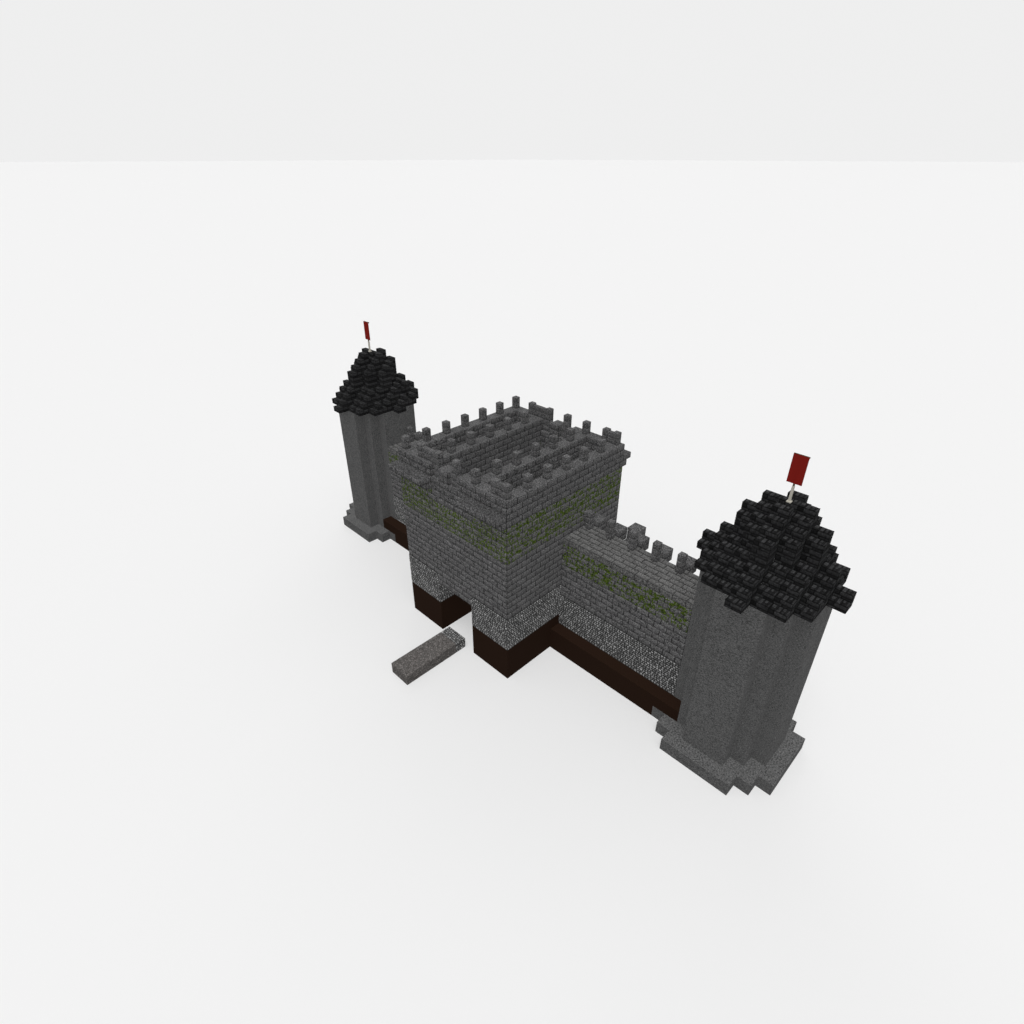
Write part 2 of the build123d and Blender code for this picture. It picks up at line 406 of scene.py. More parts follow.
@dataclass(frozen=True)
class GravelFinish(Finish):
    """Fine gravel of mixed greys with a few pinkish grains."""

    roughness: float = 0.93
    light: Colour = (0.210, 0.195, 0.187)
    dark: Colour = (0.066, 0.060, 0.057)
    light_share: Span = (0.55, 0.95)
    dark_share: Span = (0.60, 0.95)
    grains: float = 24.0
    fine_grains: float = 30.0
    contrast: float = 0.06

    def paint(self, graph: Graph) -> tuple[Socket, Socket]:
        """Write the nodes of the gravel's colour and height.

        Args:
            graph: The material's graph.

        Returns:
            The colour and the height.
        """
        place = graph.place()
        cell = graph.add("ShaderNodeTexVoronoi", {"Vector": place, "Scale": self.grains}, feature="F1").outputs
        choice = graph.add("ShaderNodeSeparateColor", {0: cell["Color"]}).outputs
        lighter = graph.mix(graph.spread(choice[0], *self.light_share), self.colour, self.light)
        mixed = graph.mix(graph.spread(choice[1], *self.dark_share), lighter, self.dark)
        grain = graph.grain(place, self.fine_grains, self.contrast)
        return graph.tint(mixed, grain["Tone"]), graph.minus(1.0, cell["Distance"])


@dataclass(frozen=True)
class PlainFinish(Finish):
    """A quiet surface with a fine grain: mortar, dark footing, wood, rod."""

    bump: float = 0.002
    roughness: float = 0.85
    contrast: float = 0.05
    stretch: Point = (1.0, 1.0, 1.0)
    scale: float = 20.0

    def paint(self, graph: Graph) -> tuple[Socket, Socket]:
        """Write the nodes of a grained surface, and give its colour and height."""
        grain = graph.grain(graph.place(), self.scale, self.contrast, self.stretch)
        return graph.tint(self.colour, grain["Tone"]), grain["Height"]


@dataclass(frozen=True)
class ClothFinish(Finish):
    """Plain woven cloth: its threads follow the cloth's own map."""

    bump: float = 0.001
    relief: float = 0.4
    roughness: float = 0.9
    shine: float = 0.06
    threads: float = 130.0
    mottles: float = 9.0
    contrast: float = 0.03
    weave_tone: Span = (0.93, 1.06)

    def paint(self, graph: Graph) -> tuple[Socket, Socket]:
        """Write the nodes of the cloth's colour and height.

        Args:
            graph: The material's graph.

        Returns:
            The colour and the height.
        """
        flat = graph.add("ShaderNodeUVMap", uv_map="cloth").outputs[0]
        split = graph.add("ShaderNodeSeparateXYZ", {0: flat}).outputs
        warp = graph.maths("SINE", graph.times(split[0], self.threads * 2 * math.pi))
        weft = graph.maths("SINE", graph.times(split[1], self.threads * 4 * math.pi))
        weave = graph.times(graph.plus(graph.times(warp, weft), 1.0), 0.5)
        woven = graph.spread(weave, 0.0, 1.0, *self.weave_tone)
        tone = graph.times(graph.grain(flat, self.mottles, self.contrast)["Tone"], woven)
        return graph.tint(self.colour, tone), weave


GREY = (0.1152, 0.1138, 0.1152)
WORN_GREY = (0.1280, 0.1266, 0.1280)
# Each stone finish paints shade at the foot of its stones and a highlight at their tops, by its rise setting
ASHLAR = StoneFinish("grey_ashlar", GREY)
MOSSY = StoneFinish("green_ashlar", GREY, moss=0.44)
WEATHERED = StoneFinish("worn_ashlar", WORN_GREY, chips=0.46, rise_shade=0.22)
PARAPET = StoneFinish("worn_parapet_stone", WORN_GREY, joint=0.45, chips=0.50, contrast=0.85, rise_shade=0.16)
WALK = StoneFinish(
    "grey_slab", (0.118, 0.117, 0.1155), contrast=0.75, joint=0.30, stretch=(1.0, 1.5, 1.0), rise_shade=0.15
)
FIELD_STONE = StoneFinish(
    "grey_field_stone", (0.205, 0.2045, 0.204), contrast=0.65, stone_swing=0.52, joint=0.28, chamfer_highlight=0.25, rise_shade=0.0
)
ROOF_TILE = StoneFinish(
    "black_tile", (0.0222, 0.0223, 0.0231), contrast=0.55, grain_scale=22.0, stretch=(1.0, 1.0, 1.0),
    stone_swing=0.95, joint=0.0, rise_shade=0.36,
)
SMOOTH = PlainFinish(
    "fine_grey_stone", (0.107, 0.107, 0.107), contrast=0.64, stretch=(0.9, 0.9, 2.1), scale=22.0, bump=0.004,
    roughness=0.92,
)
MORTAR = PlainFinish("dark_mortar", (0.036, 0.036, 0.036), contrast=0.20, scale=30.0, bump=0.004)
GRAVEL = GravelFinish("fine_gravel", (0.106, 0.0995, 0.0955))
DARK_BASE = PlainFinish("brown_footing", (0.0197, 0.0094, 0.0053), contrast=0.06, shine=0.07)
CLOTH = ClothFinish("red_banner_cloth", (0.214, 0.0130, 0.0091))
WOOD = PlainFinish("brown_pole_wood", (0.055, 0.038, 0.016), contrast=0.12, stretch=(12.0, 12.0, 1.0), scale=6.0)
ROD = PlainFinish("cream_rod", (0.53, 0.505, 0.44), contrast=0.04, scale=40.0, roughness=0.5)
Bands = Sequence[tuple[float, Finish]]


# Modelling helpers


def clear_selection() -> None:
    """Leave nothing selected."""
    bpy.ops.object.select_all(action="DESELECT")


def pick(*pieces: bpy.types.Object) -> None:
    """Select these pieces alone, with the first one active.

    Args:
        *pieces: The pieces.
    """
    clear_selection()
    for piece in pieces:
        piece.select_set(True)
    bpy.context.view_layer.objects.active = pieces[0]


@contextmanager
def edit_all() -> Iterator[None]:
    """Stay in edit mode, with all of the active piece selected.

    Yields:
        Nothing.
    """
    bpy.ops.object.mode_set(mode="EDIT")
    bpy.ops.mesh.select_all(action="SELECT")
    yield
    bpy.ops.object.mode_set(mode="OBJECT")


def apply_modifiers(piece: bpy.types.Object) -> None:
    """Apply each modifier of a piece in turn.

    Args:
        piece: The piece.
    """
    pick(piece)
    for modifier in list(piece.modifiers):
        bpy.ops.object.modifier_apply(modifier=modifier.name)


def join_pieces(pieces: Sequence[bpy.types.Object], name: str) -> bpy.types.Object:
    """Join pieces into one.

    Args:
        pieces: The pieces, which become one mesh.
        name: The joined piece's name.

    Returns:
        The joined piece.
    """
    pick(*pieces)
    if len(pieces) > 1:
        bpy.ops.object.join()
    pieces[0].name = pieces[0].data.name = name
    return pieces[0]


def add_repeat(piece: bpy.types.Object, count: int, offset: Point) -> None:
    """Add a modifier that repeats a piece along a straight line.

    Args:
        piece: The piece.
        count: How many there are in all.
        offset: The step from one to the next.
    """
    array = piece.modifiers.new("repeat", "ARRAY")
    array.count = count
    array.use_relative_offset = False
    array.use_constant_offset = True
    array.constant_offset_displace = offset


def box(x: Span, y: Span, z: Span) -> Box:
    """The low and the high corner of a block that fills three spans."""
    return tuple(zip(x, y, z))


def cut_boxes(boxes: Sequence[Box], chamfer: float) -> bpy.types.Object:
    """Cut blocks of stone with chamfered edges.

    Args:
        boxes: The low and the high corner of each block.
        chamfer: Width of the chamfer along each edge.

    Returns:
        A piece that holds the blocks.
    """
    clear_selection()
    for index, (low, high) in enumerate(boxes):
        centre = [(a + b) / 2 for a, b in zip(low, high)]
        size = [b - a for a, b in zip(low, high)]
        bpy.ops.mesh.primitive_cube_add(size=1.0, location=centre, scale=size)
        if index == 0:
            piece = bpy.context.object
            bpy.ops.object.transform_apply(location=True, rotation=False, scale=True)
            bpy.ops.object.mode_set(mode="EDIT")
    bpy.ops.mesh.select_all(action="SELECT")
    bpy.ops.mesh.bevel(offset=chamfer, segments=1, affect="EDGES")
    bpy.ops.object.mode_set(mode="OBJECT")
    return piece


def stone_labels(mesh: bpy.types.Mesh) -> np.ndarray:
    """Number the separate stones of a mesh.

    Args:
        mesh: The mesh.

    Returns:
        For each vertex, the number of the stone that it belongs to.
    """
    ends = np.empty(len(mesh.edges) * 2, dtype=np.int64)
    mesh.edges.foreach_get("vertices", ends)
    first, second = ends[0::2], ends[1::2]
    labels = np.arange(len(mesh.vertices))
    while True:
        lowest = np.minimum(labels[first], labels[second])
        merged = labels.copy()
        np.minimum.at(merged, first, lowest)
        np.minimum.at(merged, second, lowest)
        if np.array_equal(merged, labels):
            return np.unique(labels, return_inverse=True)[1]
        labels = merged


def mark_rise_shade(mesh: bpy.types.Mesh, slabs: bool) -> None:
    """Mark how far up its stone each corner of a face lies, from -1 to 1, for the painted shade and highlight of the
    finishes.

    Args:
        mesh: The cut blocks.
        slabs: True for slabs, whose level tops get the painted shade and highlight along Y.
    """
    almost_up = 0.9
    labels = stone_labels(mesh)
    places = np.array([vertex.co for vertex in mesh.vertices])
    low = np.full((labels.max() + 1, 3), np.inf)
    high = -low
    np.minimum.at(low, labels, places)
    np.maximum.at(high, labels, places)
    rise = (2 * places - low[labels] - high[labels]) / (high - low)[labels]
    values = []
    for face in mesh.polygons:
        level = abs(face.normal.z) > almost_up
        values += [rise[corner, 1] * slabs if level else rise[corner, 2] for corner in face.vertices]
    mesh.attributes.new("rise_shade", "FLOAT", "CORNER").data.foreach_set("value", values)


def mark_joints_and_shade(mesh: bpy.types.Mesh, upper_edge: float, top_darkening: float) -> None:
    """Mark the chamfers, so that the joints between stones are dark, with painted shade and a painted highlight by
    the way each chamfer faces.

    Args:
        mesh: The cut blocks.
        upper_edge: How dark the upper chamfers are, up to 1; below 0 they are painted lighter, a painted highlight.
        top_darkening: How much darker the level tops are, up to 1; on the corbels this is painted shade.
    """
    square, sloping, upright_edge = 0.99, 0.3, 0.85
    values = []
    for face in mesh.polygons:
        normal = face.normal
        # Level tops get their darkening; chamfers facing down are darkest as painted shade, upright ones a little
        # less, upward ones take upper_edge
        if max(map(abs, normal)) > square:
            values.append(top_darkening if normal.z > square else 0.0)
        elif normal.z > sloping:
            values.append(upper_edge)
        else:
            values.append(1.0 if normal.z < -sloping else upright_edge)
    mesh.attributes.new("joint_and_shade", "FLOAT", "FACE").data.foreach_set("value", values)


def tone_stones(mesh: bpy.types.Mesh, tone: float, spread: float) -> None:
    """Give each stone its own tone, from -1 for dark to 1 for light.

    Args:
        mesh: The laid stones, whose tone so far is kept and added to.
        tone: The middle tone.
        spread: The most that a stone departs from it.
    """
    primes, steps_a_metre, seed_limit = (7919, 104729, 1299709), 100, 2**31
    labels = stone_labels(mesh)
    x, y, z = mesh.vertices[0].co
    seed = int(abs(x * primes[0] + y * primes[1] + z * primes[2]) * steps_a_metre) % seed_limit
    tones = tone + np.random.default_rng(seed).uniform(-spread, spread, labels.max() + 1)
    values = tones[labels].astype(np.float32)
    found = mesh.attributes.get("tone")
    if found:
        before = np.empty(len(values), dtype=np.float32)
        found.data.foreach_get("value", before)
        values += before
    else:
        found = mesh.attributes.new("tone", "FLOAT", "POINT")
    found.data.foreach_set("value", values)


@dataclass(frozen=True)
class StoneRun:
    """Equal stones in rows: the first ones' corners, and how they repeat."""

    boxes: Sequence[Box]
    steps: Sequence[tuple[int, Point]] = ()
    chamfer: float = 0.018
    upper_edge: float = 0.52
    tone: float = 0.0
    spread: float = 1.0
    slabs: bool = False
    top_darkening: float = 0.12

    def lay(self) -> bpy.types.Object:
        """Cut the first stones and repeat them.

        Returns:
            A piece that holds all the stones, each with its tone.
        """
        piece = cut_boxes(self.boxes, self.chamfer)
        mark_rise_shade(piece.data, self.slabs)
        mark_joints_and_shade(piece.data, self.upper_edge, self.top_darkening)
        for count, offset in self.steps:
            if count > 1:
                add_repeat(piece, count, offset)
        apply_modifiers(piece)
        tone_stones(piece.data, self.tone, self.spread)
        return piece


@dataclass(frozen=True)
class WallFace:
    """A flat rectangle on the object: its low corner, the way it faces and its size."""

    corner: Point
    out: Point
    width: float
    height: float

    @property
    def across(self) -> Point:
        """The level direction along the face."""
        return (0, 1, 0) if self.out[0] else (1, 0, 0)

    @property
    def up(self) -> Point:
        """The direction up the face, or to the back of one that lies flat."""
        return (0, 1, 0) if self.out[2] else (0, 0, 1)

    def spot(self, along: float, above: float, proud: float) -> Point:
        """A point given along, above and out from the face's corner."""
        parts = zip(self.corner, self.across, self.up, self.out)
        return tuple(c + a * along + u * above + o * proud for c, a, u, o in parts)

    def box(self, along: Span, above: Span, proud: Span) -> Box:
        """The block that fills a span along the face, one up it and one out of it."""
        one, two = (self.spot(*place) for place in zip(along, above, proud))
        return tuple(map(min, one, two)), tuple(map(max, one, two))


def faces_of(x: Span, y: Span, z: Span) -> tuple[WallFace, ...]:
    """The upright faces of a block.

    Args:
        x: Its span along X.
        y: Its span along Y.
        z: Its span of height.

    Returns:
        The front, the back, and the faces at its low and its high X.
    """
    (width, depth, height) = (end - start for start, end in (x, y, z))
    return (
        WallFace((x[0], y[0], z[0]), (0, -1, 0), width, height),
        WallFace((x[0], y[1], z[0]), (0, 1, 0), width, height),
        WallFace((x[0], y[0], z[0]), (-1, 0, 0), depth, height),
        WallFace((x[1], y[0], z[0]), (1, 0, 0), depth, height),
    )


@dataclass(frozen=True)
class CobbleSkin:
    """Rounded field stones bedded in mortar, in one pattern a block wide.

    Each row has its height, where it starts and the widths of its stones.
    """

    face: WallFace
    rows: tuple[tuple[float, float, tuple[float, ...]], ...] = (
        (0.24, 0.00, (0.25, 0.20, 0.30, 0.25)),
        (0.18, 0.11, (0.19, 0.24, 0.17, 0.22, 0.18)),
        (0.22, -0.07, (0.29, 0.21, 0.27, 0.23)),
        (0.17, 0.05, (0.17, 0.21, 0.19, 0.23, 0.20)),
        (0.19, 0.15, (0.26, 0.24, 0.20, 0.30)),
    )
    gap: float = 0.008
    bedded: float = 0.03
    proud: float = 0.016
    rounding: float = 0.021
    uneven: float = 0.005
    seed: int = 11
    # Below 0: the stones' upper chamfers are painted lighter, a painted highlight
    upper_edge_highlight: float = -0.3
    saw_inset: float = 0.002
    smooth_angle: float = 60.0

    def lay(self) -> bpy.types.Object:
        """Lay the stones over the face and trim them at its two ends.

        Returns:
            A piece that holds the stones.
        """
        boxes = []
        above = 0.0
        for height, start, widths in self.rows:
            along = start - 1.0
            for width in widths:
                level = (along * BLOCK + self.gap, (along + width) * BLOCK - self.gap)
                upright = (above * BLOCK + self.gap, (above + height) * BLOCK - self.gap)
                boxes.append(self.face.box(level, upright, (-self.bedded, self.proud)))
                along += width
            above += height
        piece = cut_boxes(boxes, self.rounding)
        with edit_all():
            bpy.ops.transform.vertex_random(offset=self.uneven, uniform=0.0, normal=0.0, seed=self.seed)
        # Upper chamfers painted lighter as a painted highlight, lower ones darker as painted shade
        mark_joints_and_shade(piece.data, self.upper_edge_highlight, 0.0)
        # One block more at each end, to be sawn off
        columns = math.ceil(round(self.face.width / BLOCK, 5)) + 2
        add_repeat(piece, columns, tuple(c * BLOCK for c in self.face.across))
        add_repeat(piece, max(1, round(self.face.height / BLOCK)), tuple(c * BLOCK for c in self.face.up))
        apply_modifiers(piece)
        self.trim()
        tone_stones(piece.data, 0.0, 1.0)
        return piece

    def trim(self) -> None:
        """Saw the active piece's stones off flush with the two ends of the face."""
        with edit_all():
            for along, sign in ((self.saw_inset, -1.0), (self.face.width - self.saw_inset, 1.0)):
                place = self.face.spot(along, 0.0, 0.0)
                facing = tuple(c * sign for c in self.face.across)
                bpy.ops.mesh.select_all(action="SELECT")
                bpy.ops.mesh.bisect(plane_co=place, plane_no=facing, use_fill=True, clear_outer=True)
        bpy.ops.object.shade_smooth_by_angle(angle=math.radians(self.smooth_angle))


def paint_stones(piece: bpy.types.Object, finish: Finish | Bands) -> None:
    """Give each stone its finish.

    Args:
        piece: The laid stones.
        finish: One finish for all, or each band's top height and its finish, lowest first.
    """
    into_stone, over_foot, level = 1e-4, 1e-5, 0.5
    bands = ((math.inf, finish),) if isinstance(finish, Finish) else finish
    for _, one in bands:
        piece.data.materials.append(one.material())
    for face in piece.data.polygons:
        height = face.center.z + (-into_stone if face.normal.z > level else over_foot)
        face.material_index = next(i for i, (top, _) in enumerate(bands) if height < top)


def dress_node(node: str, finish: Finish) -> None:
    """Give a CAD node its finish.

    Args:
        node: The node's name.
        finish: The finish.
    """
    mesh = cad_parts[node].data
    mesh.materials.clear()
    mesh.materials.append(finish.material())
    LOG.info("dressed %s in %s", node, finish.name)


def place_piece(piece: bpy.types.Object, slot: str, *nodes: str) -> None:
    """Let a piece ride on the body and stand for its CAD nodes.

    Args:
        piece: The finished piece.
        slot: The record's material slot; not used.
        *nodes: The CAD nodes that it stands for.
    """
    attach(piece, "root")
    if nodes:
        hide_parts(*nodes)
    triangles = sum(len(face.vertices) - 2 for face in piece.data.polygons)
    LOG.info("made %s: %d triangles", piece.name, triangles)


def set_stones(
    name: str, runs: Sequence[StoneRun | CobbleSkin], finish: Finish | Bands, slot: str, *nodes: str
) -> None:
    """Lay a piece's stones, finish them and let the piece stand for its CAD nodes.

    Args:
        name: The piece's name.
        runs: The stones.
        finish: Their finish, or that of each band of height.
        slot: The record's material slot; not used.
        *nodes: The CAD nodes that the piece stands for.
    """
    piece = join_pieces([run.lay() for run in runs], name)
    paint_stones(piece, finish)
    place_piece(piece, slot, *nodes)


def staggered(x: float, y: Span, z: float, cells: int, rows: int) -> tuple[StoneRun, StoneRun]:
    """The two courses of a wall along X, repeated upwards.

    Args:
        x: Its lowest X.
        y: Its front and its back.
        z: Its foot.
        cells: Its length in blocks.
        rows: Its height in blocks.

    Returns:
        The lower course, half a stone in from each end, and the upper one.
    """
    lower = box((x + HALF, x + HALF + BLOCK), y, (z, z + COURSE))
    upper = box((x, x + BLOCK), y, (z + COURSE, z + BLOCK))
    return (
        StoneRun((lower,), ((cells - 1, ALONG), (rows, UP))),
        StoneRun((upper,), ((cells, ALONG), (rows, UP))),
    )


def merlon_boxes(x: float, y: float, z: float) -> tuple[Box, ...]:
    """The stones of one merlon a block wide: two halves below a whole one.

    Args:
        x: Its lowest X.
        y: Its lowest Y.
        z: The height that it stands at.

    Returns:
        The stones' corners.
    """
    deep, low = (y, y + BLOCK), (z, z + COURSE)
    return (
        box((x, x + HALF), deep, low),
        box((x + HALF, x + BLOCK), deep, low),
        box((x, x + BLOCK), deep, (z + COURSE, z + BLOCK)),
    )


@dataclass(frozen=True)
class Railing:
    """Square posts with low links between them, in stones a course high."""

    post: float = 0.25
    link: float = 0.1875
    link_height: float = 0.4375
    chamfer: float = 0.01

    def posts(self, x: float, y: float, bottom: float, courses: int = 2) -> tuple[Box, ...]:
        """The stones of one post.

        Args:
            x: Its middle along X.
            y: Its middle along Y.
            bottom: The height that it stands at.
            courses: How many stones high it is.

        Returns:
            The stones' corners.
        """
        half = self.post / 2
        wide, deep = (x - half, x + half), (y - half, y + half)
        heights = [bottom + course * COURSE for course in range(courses + 1)]
        return tuple(box(wide, deep, span) for span in zip(heights, heights[1:]))

    def links(self, x: Span, y: float, bottom: float) -> tuple[Box, ...]:
        """The two stones of one link, by its ends, its middle along Y and the height that it stands at."""
        deep, seam = (y - self.link / 2, y + self.link / 2), bottom + COURSE
        return box(x, deep, (bottom, seam)), box(x, deep, (seam, bottom + self.link_height))

    def post_run(self, boxes: Sequence[Box], *steps: tuple[int, Point]) -> StoneRun:
        """Posts, whose level tops are not darkened."""
        return StoneRun(boxes, steps, self.chamfer, top_darkening=0.0)

    def link_run(self, boxes: Sequence[Box], *steps: tuple[int, Point]) -> StoneRun:
        """Links."""
        return StoneRun(boxes, steps, self.chamfer)


RAILING = Railing()


# Sub-assemblies


@dataclass
class GateTower:
    """One of the two open-topped towers that flank the gate."""

    side: Side
    width: float = 2.0
    depth: float = 6.5
    wall: float = 0.5
    gate_width: float = 2.0
    base_top: float = 1.5
    rubble_top: float = 3.0
    head_top: float = 7.5
    top: float = 8.0
    moss_low: float = 5.5
    moss_high: float = 7.0
    corbel_reach: float = 0.5
    corbel_shade: float = 0.40
    first_post_y: float = -2.0
    posts_a_side: int = 5

    @property
    def low_x(self) -> float:
        """The tower's lowest X."""
        return self.gate_width / 2 if self.side is Side.RIGHT else -self.gate_width / 2 - self.width

    @property
    def name(self) -> str:
        """The first word of the tower's node names."""
        return self.side.word

    def build(self) -> None:
        """Build and dress the whole tower."""
        dress_node(f"{self.name}_tower_base", DARK_BASE)
        dress_node(f"{self.name}_tower_rubble_course", MORTAR)
        self.rubble()
        for face in Face:
            self.end_wall(face)
        for flank in Flank:
            self.side_wall(flank)
        self.corbels()
        self.parapet()

    def rubble(self) -> None:
        """Face the rubble course with field stones on its four sides."""
        x, y = self.low_x, self.depth / 2
        faces = faces_of((x, x + self.width), (-y, y), (self.base_top, self.rubble_top))
        set_stones(f"{self.name}_tower_field_stones", [CobbleSkin(face) for face in faces], FIELD_STONE, "rubble")

    def bands(self, middle: Finish) -> Bands:
        """The finishes of a wall from its foot to its top."""
        return (self.moss_low, ASHLAR), (self.moss_high, middle), (math.inf, WEATHERED)

    def end_wall(self, face: Face) -> None:
        """Lay the front or the back wall with its corners.

        Args:
            face: Which wall.
        """
        rows = round((self.top - self.rubble_top) / BLOCK)
        shared_rows = round((self.head_top - self.rubble_top) / BLOCK)
        x, z = self.low_x, self.rubble_top
        low_y = -self.depth / 2 if face is Face.FRONT else self.depth / 2 - self.wall
        outer_y = low_y if face is Face.FRONT else low_y + self.wall / 2
        y = (low_y, low_y + self.wall)
        near_x, far_x = (x, x + self.width - HALF)[:: self.side.value]
        corner = box((far_x, far_x + HALF), (outer_y, outer_y + HALF), (z, z + COURSE))
        last = z + shared_rows * BLOCK
        closer = box((near_x, near_x + HALF), y, (last, last + COURSE))
        runs = (
            *staggered(x, y, z, round(self.width / BLOCK), rows),
            StoneRun((corner,), ((rows, UP),)),
            StoneRun((closer,), ((rows - shared_rows, UP),)),
        )
        name = f"{self.name}_{face.word}_wall_stones"
        set_stones(name, runs, self.bands(MOSSY), "ashlar", f"{self.name}_tower_{face.word}_wall")

    def side_wall(self, flank: Flank) -> None:
        """Lay the outer wall or the wall along the passage.

        Args:
            flank: Which wall.
        """
        up = (round((self.top - self.rubble_top) / BLOCK), UP)
        cells = round(self.depth / BLOCK)
        at_low = (flank is Flank.OUTER) == (self.side is Side.LEFT)
        low_x = self.low_x if at_low else self.low_x + self.width - self.wall
        x, y, z = (low_x, low_x + self.wall), -self.depth / 2, self.rubble_top
        lower = box(x, (y + HALF, y + HALF + BLOCK), (z, z + COURSE))
        upper = box(x, (y + BLOCK, y + BLOCK * 2), (z + COURSE, z + BLOCK))
        runs = StoneRun((lower,), ((cells - 1, BACK), up)), StoneRun((upper,), ((cells - 2, BACK), up))
        bands = self.bands(MOSSY if flank is Flank.OUTER else ASHLAR)
        name = f"{self.name}_{flank.word}_wall_stones"
        set_stones(name, runs, bands, "ashlar", f"{self.name}_tower_{flank.word}_wall")

    def corbels(self) -> None:
        """Lay the two courses that step out under the tops of the front and the back."""
        cells = round(self.width / BLOCK)
        x, top = self.low_x, self.head_top
        lower_z = (top - BLOCK, top - COURSE)
        runs = []
        for face in Face:
            wall_y = face.value * self.depth / 2
            deep = sorted((wall_y, wall_y + face.value * self.corbel_reach))
            upper = box((x, x + BLOCK), deep, (top - COURSE, top))
            # The corbels' level tops are painted darker: painted shade
            runs.append(StoneRun((upper,), ((cells, ALONG),), top_darkening=self.corbel_shade))
            deep = sorted((wall_y, wall_y + face.value * self.corbel_reach / 2))
            lower = box((x + HALF, x + HALF + BLOCK), deep, lower_z)
            runs.append(StoneRun((lower,), ((cells - 1, ALONG),)))
            end = box((x, x + HALF), deep, lower_z)
            runs.append(StoneRun((end,), ((2, (self.width - HALF, 0.0, 0.0)),)))
        set_stones(f"{self.name}_corbel_stones", runs, WEATHERED, "ashlar", f"{self.name}_tower_corbels")

    def parapet(self) -> None:
        """Set the posts round the top and the low links between close ones."""
        outer_x, head_y = self.gate_width / 2 + self.width, (self.depth - self.wall) / 2
        middle, reach = self.low_x + self.width / 2, (self.width - self.wall) / 2
        post, step = RAILING.post, (0.0, 2 * head_y, 0.0)
        # The posts of both ends stand on blocks that are counted from the outer corner
        if self.side is Side.LEFT:
            corners = (-outer_x + BLOCK / 2, -outer_x + 2.5 * BLOCK)
            link_x = (-outer_x + 2.5 * BLOCK + post / 2, -(self.gate_width + post - BLOCK) / 2)
        else:
            corners = (outer_x - 3.5 * BLOCK, outer_x - 1.5 * BLOCK, outer_x - BLOCK / 2)
            link_x = (outer_x - 1.5 * BLOCK + post / 2, outer_x - (BLOCK + post) / 2)
        sides = sum((RAILING.posts(x, self.first_post_y, self.top) for x in (middle - reach, middle + reach)), ())
        ends = sum((RAILING.posts(x, -head_y, self.top) for x in corners), ())
        runs = (
            RAILING.post_run(sides, (self.posts_a_side, (0.0, 2 * BLOCK, 0.0))),
            RAILING.post_run(ends, (2, step)),
            RAILING.link_run(RAILING.links(link_x, -head_y, self.top), (2, step)),
        )
        set_stones(f"{self.name}_parapet_stones", runs, PARAPET, "parapet_stone", f"{self.name}_tower_parapet")


@dataclass
class GateHeads:
    """The walls over the gate, front and back, with their parapet."""

    width: float = 2.0
    depth: float = 6.5
    wall: float = 0.5
    bottom: float = 2.5
    tower_foot: float = 3.0
    shoulder: float = 7.5
    moss_low: float = 5.5
    moss_high: float = 6.5
    post_courses: int = 4

    def build(self) -> None:
        """Build both heads and the parapet in their notches."""
        for face in Face:
            self.head(face)
        self.parapet()

    def head(self, face: Face) -> None:
        """Lay one head, whose stones bond into the towers.

        Args:
            face: Front or back.
        """
        low_y = -self.depth / 2 if face is Face.FRONT else self.depth / 2 - self.wall
        x, y, z, foot = -self.width / 2, (low_y, low_y + self.wall), self.bottom, self.tower_foot
        cells = round(self.width / BLOCK)
        rows = round((self.shoulder - z) / BLOCK)
        free_rows = round((foot - z) / BLOCK)
        closer = box((x, x + HALF), y, (z, z + COURSE))
        bond = box((x - HALF, x + HALF), y, (foot, foot + COURSE))
        merlon = merlon_boxes(x + BLOCK, low_y, self.shoulder)
        runs = (
            *staggered(x, y, z, cells, rows),
            StoneRun((closer,), ((2, (self.width - HALF, 0.0, 0.0)), (free_rows, UP))),
            StoneRun((bond,), ((2, (self.width, 0.0, 0.0)), (rows - free_rows, UP))),
            StoneRun(merlon, ((cells // 2, EVERY_SECOND),)),
        )
        bands = (self.moss_low, ASHLAR), (self.moss_high, MOSSY), (math.inf, WEATHERED)
        set_stones(f"gate_head_{face.word}_stones", runs, bands, "ashlar", f"gate_head_{face.word}")

    def parapet(self) -> None:
        """Set a post and a low link in each notch of the heads."""
        head_y, half = (self.depth - self.wall) / 2, RAILING.post / 2
        posts, links = (), ()
        for x in (BLOCK / 2 - self.width / 2, BLOCK * 2.5 - self.width / 2):
            posts += RAILING.posts(x, -head_y, self.shoulder, self.post_courses)
            for ends in ((x - BLOCK / 2, x - half), (x + half, x + BLOCK / 2)):
                links += RAILING.links(ends, -head_y, self.shoulder)
        back = (2, (0.0, 2 * head_y, 0.0))
        runs = RAILING.post_run(posts, back), RAILING.link_run(links, back)
        set_stones("gate_parapet_stones", runs, PARAPET, "parapet_stone", "gate_parapet")


